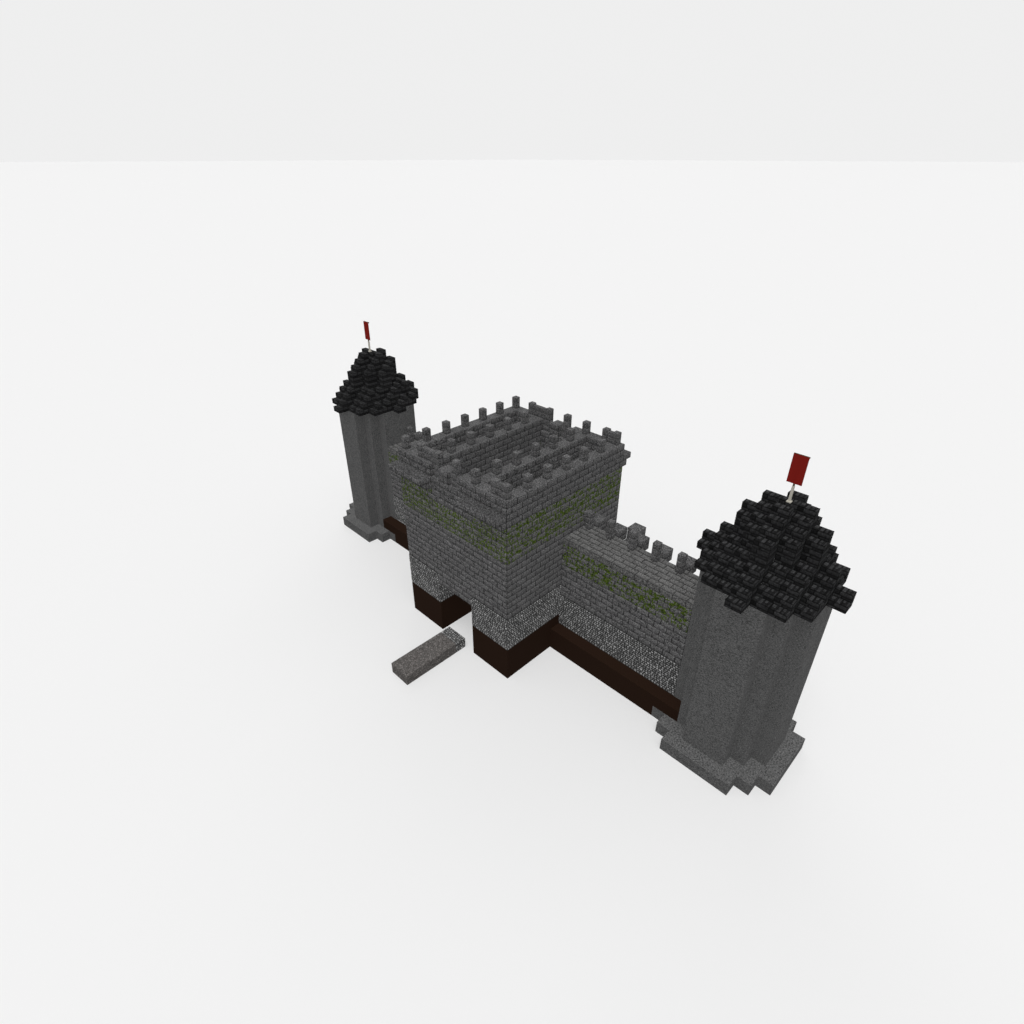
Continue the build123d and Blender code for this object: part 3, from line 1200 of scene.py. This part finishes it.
@dataclass
class CurtainWall:
    """The straight wall between a gate tower and a round tower."""

    side: Side
    near_x: float = 3.0
    length: float = 5.5
    middle_y: float = 0.5
    thickness: float = 1.5
    base_top: float = 1.0
    rubble_top: float = 2.5
    moss_low: float = 4.0
    top: float = 5.0
    walk: float = 0.25
    slab_chamfer: float = 0.016
    merlon_chamfer: float = 0.008
    bracket_chamfer: float = 0.004
    lone_block: int = 3
    post_courses: int = 3

    @property
    def low_x(self) -> float:
        """The wall's lowest X."""
        return self.near_x if self.side is Side.RIGHT else -self.near_x - self.length

    @property
    def front(self) -> float:
        """The Y of the wall's front."""
        return self.middle_y - self.thickness / 2

    @property
    def rear(self) -> float:
        """The Y of the wall's back."""
        return self.middle_y + self.thickness / 2

    @property
    def name(self) -> str:
        """The first word of the wall's node names."""
        return self.side.word

    def build(self) -> None:
        """Build and dress the wall."""
        dress_node(f"{self.name}_curtain_base", DARK_BASE)
        dress_node(f"{self.name}_curtain_rubble_course", MORTAR)
        self.rubble()
        self.ashlar()
        self.slabs()
        self.merlons()
        self.posts()
        if self.side is Side.RIGHT:
            self.bracket()

    def rubble(self) -> None:
        """Face the rubble course with field stones, front and back."""
        x = (self.low_x, self.low_x + self.length)
        faces = faces_of(x, (self.front, self.rear), (self.base_top, self.rubble_top))[:2]
        set_stones(f"{self.name}_curtain_field_stones", [CobbleSkin(face) for face in faces], FIELD_STONE, "rubble")

    def ashlar(self) -> None:
        """Lay both faces of the wall in ashlar."""
        rows = round((self.top - self.rubble_top) / BLOCK)
        x, z = self.low_x, self.rubble_top
        runs = []
        for y in ((self.front, self.middle_y), (self.middle_y, self.rear)):
            lower, upper = staggered(x, y, z, round(self.length / BLOCK), rows)
            end = box((x, x + HALF), y, (z, z + COURSE))
            runs += [upper, lower, StoneRun((end,), ((2, (self.length - HALF, 0.0, 0.0)), (rows, UP)))]
        bands = (self.moss_low, ASHLAR), (math.inf, MOSSY)
        set_stones(f"{self.name}_curtain_stones", runs, bands, "ashlar", f"{self.name}_curtain_wall")

    def slabs(self) -> None:
        """Lay the slabs of the wall walk."""
        cells = round(self.length / BLOCK)
        back = (round(self.thickness / BLOCK), BACK)
        x, y, z = self.low_x, self.front, (self.top, self.top + self.walk)
        rows = (
            (box((x, x + BLOCK), (y + COURSE, y + BLOCK), z), (cells, ALONG)),
            (box((x + HALF, x + HALF + BLOCK), (y, y + COURSE), z), (cells - 1, ALONG)),
            (box((x, x + HALF), (y, y + COURSE), z), (2, (self.length - HALF, 0.0, 0.0))),
        )
        runs = [
            StoneRun((slab,), (step, back), self.slab_chamfer, 1.0, slabs=True, top_darkening=0.0) for slab, step in rows
        ]
        set_stones(f"{self.name}_walk_slabs", runs, WALK, "walk_stone", f"{self.name}_wall_walk")

    def spots(self) -> list[float]:
        """The middles of the merlons along X, one on every second block, lowest first."""
        count = int((self.length - BLOCK) // (2 * BLOCK)) + 1
        return sorted(self.side.value * (self.near_x + (2 * i + 0.5) * BLOCK) for i in range(count))

    def merlons(self) -> None:
        """Set the merlons along the rear edge."""
        spots = self.spots()
        stones = merlon_boxes(spots[0] - HALF, self.rear, self.top)
        runs = (StoneRun(stones, ((len(spots), EVERY_SECOND),), self.merlon_chamfer),)
        set_stones(f"{self.name}_merlon_stones", runs, WEATHERED, "parapet_stone", f"{self.name}_wall_merlons")

    def posts(self) -> None:
        """Set a post before each merlon, and a stub against the gate tower."""
        spots, y, foot = self.spots(), self.rear - HALF, self.top + self.walk
        posts = RAILING.posts(spots[0], y, foot, self.post_courses)
        ends = (self.side.value * self.near_x, self.side.value * (self.near_x + (BLOCK - RAILING.post) / 2))
        deep, low = (y - RAILING.link / 2, y + RAILING.link / 2), foot + COURSE
        stub = box(sorted(ends), deep, (low, low + RAILING.link_height))
        runs = RAILING.post_run(posts, (len(spots), EVERY_SECOND)), RAILING.link_run((stub,))
        set_stones(f"{self.name}_walk_post_stones", runs, PARAPET, "parapet_stone", f"{self.name}_wall_posts")

    def bracket(self) -> None:
        """Lay the blocks that carry a lone merlon behind the wall."""
        x, rear = self.near_x + self.lone_block * BLOCK, self.rear
        places = ((rear, self.top - BLOCK), (rear + BLOCK, self.top - BLOCK), (rear + BLOCK, self.top))
        stones = sum((merlon_boxes(x, y, z) for y, z in places), ())
        runs = (StoneRun(stones, (), self.bracket_chamfer),)
        set_stones("right_bracket_stones", runs, WEATHERED, "parapet_stone", "right_wall_bracket")


def round_cells(radius: float) -> set[Cell]:
    """The blocks of a round plan, as whole steps from its middle.

    Args:
        radius: The plan's radius in blocks.

    Returns:
        The blocks' columns and rows.
    """
    limit = int(radius * radius)
    reach = math.isqrt(limit)
    cells = set()
    for row in range(-reach, reach + 1):
        half = math.isqrt(limit - row * row)
        cells.update((column, row) for column in range(-half, half + 1))
    return cells


def around(cell: Cell) -> set[Cell]:
    """The four blocks beside a block."""
    column, row = cell
    return {(column - 1, row), (column + 1, row), (column, row - 1), (column, row + 1)}


def cell_runs(cells: set[Cell]) -> list[tuple[Cell, int]]:
    """Gather blocks into unbroken runs along their rows.

    Args:
        cells: The blocks.

    Returns:
        The first block and the number of blocks of each run.
    """
    runs = []
    for cell in sorted(cells, key=lambda c: (c[1], c[0])):
        if runs and (runs[-1][0][0] + runs[-1][1], runs[-1][0][1]) == cell:
            runs[-1] = (runs[-1][0], runs[-1][1] + 1)
        else:
            runs.append((cell, 1))
    return runs


# The tiles that face a block of the roof: left, right and tone
LOW_TILES = ((0.0, 0.225, 0.15), (0.225, BLOCK, -0.45))
HIGH_TILES = ((0.0, 0.155, -0.55), (0.155, BLOCK, 0.20))
# The strips that cap a step: left, right, front, back and tone
CAP_STRIPS = (
    (0.0, 0.03, 0.0, HALF, -0.65),
    (0.03, 0.14, 0.0, 0.085, -0.40),
    (0.03, 0.14, 0.085, HALF, 0.72),
    (0.14, 0.19, 0.0, HALF, -0.60),
    (0.19, 0.29, 0.0, HALF, 0.58),
    (0.29, 0.32, 0.0, HALF, -0.60),
    (0.32, 0.40, 0.0, 0.12, -0.35),
    (0.32, 0.40, 0.12, HALF, 0.62),
    (0.40, 0.44, 0.0, HALF, -0.60),
    (0.44, BLOCK, 0.0, HALF, 0.10),
)


@dataclass
class RoundTower:
    """A round end tower laid in whole blocks, with its stepped roof and banner."""

    side: Side
    middle_x: float = 10.25
    middle_y: float = 0.5
    roof_foot: float = 7.0
    roof_radii: tuple[float, ...] = (4.0, 3.0, 2.0, 2.0, 1.0)
    tile_low: float = 0.085
    tile_high: float = 0.225
    tile_chamfer: float = 0.014
    tile_edge: float = 0.8
    strip_chamfer: float = 0.006
    tile_spread: float = 0.30
    core_inset: float = 0.012
    core_chamfer: float = 0.004
    core_tone: float = -0.6
    rod_height: float = 0.5
    pole_height: float = 0.875
    pole_width: float = 0.0417
    cloth_width: float = 0.4167
    cloth_drop: float = 0.8333
    cloth_thickness: float = 0.003
    cloth_cells: Cell = (26, 52)
    cloth_hem: float = 0.02
    cloth_below_bar: float = 0.002
    cloth_before_bar: float = 0.006
    cloth_smooth_angle: float = 50.0

    @property
    def name(self) -> str:
        """The first word of the tower's node names."""
        return self.side.word

    def build(self) -> None:
        """Dress the tower, tile its roof and hang its banner."""
        dress_node(f"{self.name}_round_tower_plinth", SMOOTH)
        dress_node(f"{self.name}_round_tower_shaft", SMOOTH)
        self.roof()
        dress_node(f"{self.name}_finial_rod", ROD)
        dress_node(f"{self.name}_banner_pole", WOOD)
        self.banner()

    def tile_block(self, stepped: bool) -> bpy.types.Object:
        """Tile one block, whose low corner is at the origin.

        Args:
            stepped: True for a low step in front of a high one, False for a
                whole block under the next course.

        Returns:
            The block's tiles.
        """
        rows = ((0.0, BLOCK, 0.0, False), (0.0, BLOCK, COURSE, False))
        if stepped:
            rows = ((0.0, HALF, 0.0, True), (HALF, BLOCK, 0.0, False), (HALF, BLOCK, COURSE, True))
        stones = []
        for front, back, foot, capped in rows:
            seam, top = foot + self.tile_low, foot + (self.tile_high if capped else COURSE)
            for tiles, level in ((LOW_TILES, (foot, seam)), (HIGH_TILES, (seam, top))):
                for left, right, tone in tiles:
                    tile = box((left, right), (front, back), level)
                    stones.append(StoneRun((tile,), (), self.tile_chamfer, self.tile_edge, tone, 0.0))
            for left, right, near, far, tone in CAP_STRIPS if capped else ():
                strip = box((left, right), (front + near, front + far), (top, foot + COURSE))
                stones.append(StoneRun((strip,), (), self.strip_chamfer, 1.0, tone, 0.0, top_darkening=0.0))
        return join_pieces([stone.lay() for stone in stones], f"{self.name}_tile_block")

    def tile_core(self, corner: Point, count: int, stepped: bool) -> bpy.types.Object:
        """Make the plain masonry that a row of tiled blocks is laid over.

        Args:
            corner: The low corner of the row.
            count: How many blocks it has.
            stepped: True where the blocks are stepped.

        Returns:
            The masonry, a little smaller than the tiles.
        """
        x, y, z = corner
        inset = self.core_inset
        wide, front, back = (x + inset, x + count * BLOCK - inset), y + inset, y + BLOCK - inset
        steps = (box(wide, (front, back), (z, z + BLOCK)),)
        if stepped:
            steps = (
                box(wide, (front, back), (z, z + COURSE - inset)),
                box(wide, (y + COURSE + inset, back), (z, z + BLOCK - inset)),
            )
        return StoneRun(steps, (), self.core_chamfer, 0.0, self.core_tone, 0.0).lay()

    def tile_row(self, block: bpy.types.Object, corner: Point, count: int) -> bpy.types.Object:
        """Repeat a tiled block along a row.

        Args:
            block: The tiled block.
            corner: The low corner of the row.
            count: How many blocks it has.

        Returns:
            The row's tiles.
        """
        row = block.copy()
        row.data = block.data.copy()
        bpy.context.scene.collection.objects.link(row)
        pick(row)
        with edit_all():
            bpy.ops.transform.translate(value=corner)
        add_repeat(row, count, ALONG)
        apply_modifiers(row)
        return row

    def roof(self) -> None:
        """Tile every block of the roof that shows."""
        blocks = {stepped: self.tile_block(stepped) for stepped in (True, False)}
        plans = [round_cells(radius) for radius in self.roof_radii] + [set()]
        rows = []
        for course, (plan, upper) in enumerate(zip(plans, plans[1:])):
            rim = {cell for cell in plan & upper if not around(cell) <= upper}
            for stepped, cells in ((True, plan - upper), (False, rim)):
                for (column, row), count in cell_runs(cells):
                    x = self.side.value * self.middle_x + (column - 0.5) * BLOCK
                    corner = (x, self.middle_y + (row - 0.5) * BLOCK, self.roof_foot + course * BLOCK)
                    rows.append(self.tile_row(blocks[stepped], corner, count))
                    rows.append(self.tile_core(corner, count, stepped))
        for block in blocks.values():
            bpy.data.objects.remove(block)
        piece = join_pieces(rows, f"{self.name}_roof_tiles")
        tone_stones(piece.data, 0.0, self.tile_spread)
        paint_stones(piece, ROOF_TILE)
        place_piece(piece, "roof_tile", f"{self.name}_round_tower_roof")

    def banner(self) -> None:
        """Hang the banner's cloth from its crossbar."""
        x, y = self.side.value * self.middle_x, self.middle_y - self.pole_width / 2 - self.cloth_before_bar
        roof_top = self.roof_foot + BLOCK * len(self.roof_radii)
        top = roof_top + self.rod_height + self.pole_height + self.pole_width - self.cloth_below_bar
        centre = (x, y, top - self.cloth_drop / 2)
        across, down = self.cloth_cells
        clear_selection()
        bpy.ops.mesh.primitive_grid_add(
            x_subdivisions=across, y_subdivisions=down, size=1.0, location=centre, rotation=(math.pi / 2, 0.0, 0.0)
        )
        cloth = bpy.context.object
        cloth.scale = (self.cloth_width, self.cloth_drop, 1.0)
        bpy.ops.object.transform_apply(location=True, rotation=True, scale=True)
        cloth.data.uv_layers.active.name = "cloth"
        hem = [vertex.index for vertex in cloth.data.vertices if vertex.co.z > top - self.cloth_hem]
        cloth.vertex_groups.new(name="hung").add(hem, 1.0, "REPLACE")
        fold_cloth(cloth, centre, self.cloth_drop, self.side.value)
        settle_cloth(cloth)
        cloth.modifiers.clear()
        thick = cloth.modifiers.new("thickness", "SOLIDIFY")
        thick.thickness, thick.offset = self.cloth_thickness, 0.0
        apply_modifiers(cloth)
        bpy.ops.object.shade_smooth_by_angle(angle=math.radians(self.cloth_smooth_angle))
        piece = join_pieces([cloth], f"{self.name}_banner_cloth")
        piece.data.materials.append(CLOTH.material())
        place_piece(piece, "banner_cloth", f"{self.name}_banner")


def fold_cloth(cloth: bpy.types.Object, centre: Point, drop: float, hand: int) -> None:
    """Lay shallow upright folds in a hung cloth.

    Args:
        cloth: The flat cloth, standing upright.
        centre: The cloth's middle.
        drop: Its height.
        hand: -1 or 1, which turns the folds round.
    """
    folds = ((27.0, 0.8, 0.0022), (11.0, -1.7, 0.0030))
    proud, at_top, growth = 0.0052, 0.25, 1.1
    for vertex in cloth.data.vertices:
        along = (vertex.co.x - centre[0]) * hand
        down = 0.5 - (vertex.co.z - centre[2]) / drop
        wave = sum(math.sin(along * pace + lean * down) * depth for pace, lean, depth in folds)
        vertex.co.y -= (wave + proud) * min(1.0, at_top + growth * down)


def settle_cloth(cloth: bpy.types.Object) -> None:
    """Let a cloth settle under its own weight.

    Args:
        cloth: The cloth, whose group "hung" stays where it is.
    """
    pick(cloth)
    modifier = cloth.modifiers.new("settle", "CLOTH")
    settings = modifier.settings
    settings.vertex_group_mass = "hung"
    settings.quality = 6
    settings.mass = 0.4
    settings.tension_stiffness = settings.compression_stiffness = 25.0
    settings.bending_stiffness = 2.5
    settings.air_damping = 5.0
    modifier.collision_settings.use_collision = False
    scene, frames = bpy.context.scene, 15
    for number in range(1, frames + 1):
        scene.frame_set(number)
    bpy.ops.object.modifier_apply(modifier=modifier.name)
    scene.frame_set(1)


@dataclass
class Causeways:
    """The two gravel slabs that run up to the gate, each with a cobbled end."""

    width: float = 1.0
    length: float = 3.0
    height: float = 0.5
    gate_y: float = 3.25
    cobbled: float = 0.5
    rim: float = 0.016
    slab_chamfer: float = 0.02
    core_chamfer: float = 0.005
    edge: float = 0.3

    def build(self) -> None:
        """Build both slabs."""
        half, rim, high = self.width / 2, self.rim, self.height
        slabs, cores, skins = [], [], []
        for face in Face:
            near, seam, far = (face.value * (self.gate_y + d) for d in (0.0, self.cobbled, self.length))
            slabs.append(box((-half, half), sorted((seam, far)), (0.0, high)))
            low_y, high_y = sorted((near, seam))
            deep = (low_y + rim * (face is Face.BACK), high_y - rim * (face is Face.FRONT))
            cores.append(box((-half + rim, half - rim), deep, (0.0, high - rim)))
            walls = (
                WallFace((-half, low_y, high - rim), (0, 0, 1), self.width, self.cobbled),
                WallFace((-half + rim, low_y, 0.0), (-1, 0, 0), self.cobbled, high),
                WallFace((half - rim, low_y, 0.0), (1, 0, 0), self.cobbled, high),
                WallFace((-half, near + face.value * rim, 0.0), (0, -face.value, 0), self.width, high),
            )
            skins += [CobbleSkin(wall).lay() for wall in walls]
        gravel = StoneRun(slabs, (), self.slab_chamfer, self.edge, spread=0.0).lay()
        core = StoneRun(cores, (), self.core_chamfer, self.edge, spread=0.0).lay()
        cobbles = join_pieces(skins, "causeway_cobbles")
        for part, finish in ((gravel, GRAVEL), (core, MORTAR), (cobbles, FIELD_STONE)):
            part.data.materials.append(finish.material())
        piece = join_pieces([gravel, core, cobbles], "causeway_slabs")
        place_piece(piece, "gravel_stone", "causeways")


@dataclass(frozen=True)
class Lamp:
    """A far lamp: where it stands, seen from the object, and how wide it looks in degrees."""

    name: str
    strength: float
    direction: Point
    softness: float = 60.0
    shadow: bool = False

    def hang(self) -> None:
        """Add the lamp to the scene."""
        data = bpy.data.lights.new(self.name, "SUN")
        data.energy = self.strength
        data.angle = math.radians(self.softness)
        data.use_shadow = self.shadow
        lamp = bpy.data.objects.new(self.name, data)
        bpy.context.scene.collection.objects.link(lamp)
        lamp.rotation_euler = Vector(self.direction).to_track_quat("Z", "Y").to_euler()


@dataclass
class Studio:
    """Floor, light and camera."""

    camera_place: Point = (14.7325, -14.7275, 17.6105)
    camera_target: Point = (0.0, 0.0, 5.0)
    lens: float = 20.663
    sensor: float = 36.0
    farthest: float = 5000.0
    floor_size: float = 6000.0
    shown_tone: float = 0.86
    bounce_tone: float = 0.25
    sky: float = 0.28
    lamps: tuple[Lamp, ...] = (
        Lamp("key", 0.55, (0.16, -0.30, 0.94), 30.0, True),
        Lamp("fill", 2.22, (0.449, -0.471, 0.759)),
        Lamp("rear", 0.60, (-0.64, 0.67, 0.37)),
    )

    def build(self) -> None:
        """Set up the studio."""
        self.floor()
        self.world()
        for lamp in self.lamps:
            lamp.hang()
        self.camera()

    def floor(self) -> None:
        """A wide floor, pale to the camera, that throws little light back up."""
        clear_selection()
        bpy.ops.mesh.primitive_plane_add(size=self.floor_size, location=(0.0, 0.0, 0.0))
        floor = bpy.context.object
        floor.name = "pale_floor"
        material = bpy.data.materials.new("pale_floor")
        material.use_nodes = True
        graph = Graph(material.node_tree)
        shader = material.node_tree.nodes["Principled BSDF"]
        seen = graph.add("ShaderNodeLightPath").outputs["Is Camera Ray"]
        shown = graph.mix(seen, (self.bounce_tone,) * 3, (self.shown_tone,) * 3)
        graph.feed(shader.inputs["Base Color"], shown)
        graph.feed(shader.inputs["Roughness"], 1.0)
        graph.feed(shader.inputs["Specular IOR Level"], 0.0)
        floor.data.materials.append(material)

    def world(self) -> None:
        """Even light from all round, with a pale backdrop for the camera."""
        world = bpy.data.worlds.new("studio")
        world.use_nodes = True
        bpy.context.scene.world = world
        graph = Graph(world.node_tree)
        ambient, output = (world.node_tree.nodes[name] for name in ("Background", "World Output"))
        graph.feed(ambient.inputs["Color"], (1.0, 1.0, 1.0))
        graph.feed(ambient.inputs["Strength"], self.sky)
        shown = graph.add("ShaderNodeBackground", {"Color": (self.shown_tone,) * 3, "Strength": 1.0})
        seen = graph.add("ShaderNodeLightPath").outputs["Is Camera Ray"]
        blend = graph.add("ShaderNodeMixShader", {0: seen, 1: ambient.outputs[0], 2: shown.outputs[0]})
        graph.feed(output.inputs["Surface"], blend.outputs[0])

    def camera(self) -> None:
        """The camera at the photograph's viewing angle."""
        data = bpy.data.cameras.new("camera")
        data.lens = self.lens
        data.sensor_width = self.sensor
        data.clip_end = self.farthest
        camera = bpy.data.objects.new("camera", data)
        bpy.context.scene.collection.objects.link(camera)
        camera.location = self.camera_place
        look = Vector(self.camera_target) - Vector(self.camera_place)
        camera.rotation_euler = look.to_track_quat("-Z", "Y").to_euler()
        bpy.context.scene.camera = camera


def main() -> None:
    """Build the gatehouse in order and report each piece."""
    logging.basicConfig(level=logging.INFO, format="%(name)s: %(message)s")
    bpy.context.scene.view_settings.view_transform = "Standard"
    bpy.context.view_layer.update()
    for side in Side:
        GateTower(side).build()
    GateHeads().build()
    for side in Side:
        CurtainWall(side).build()
        RoundTower(side).build()
    Causeways().build()
    Studio().build()


if __name__ == "__main__":
    main()
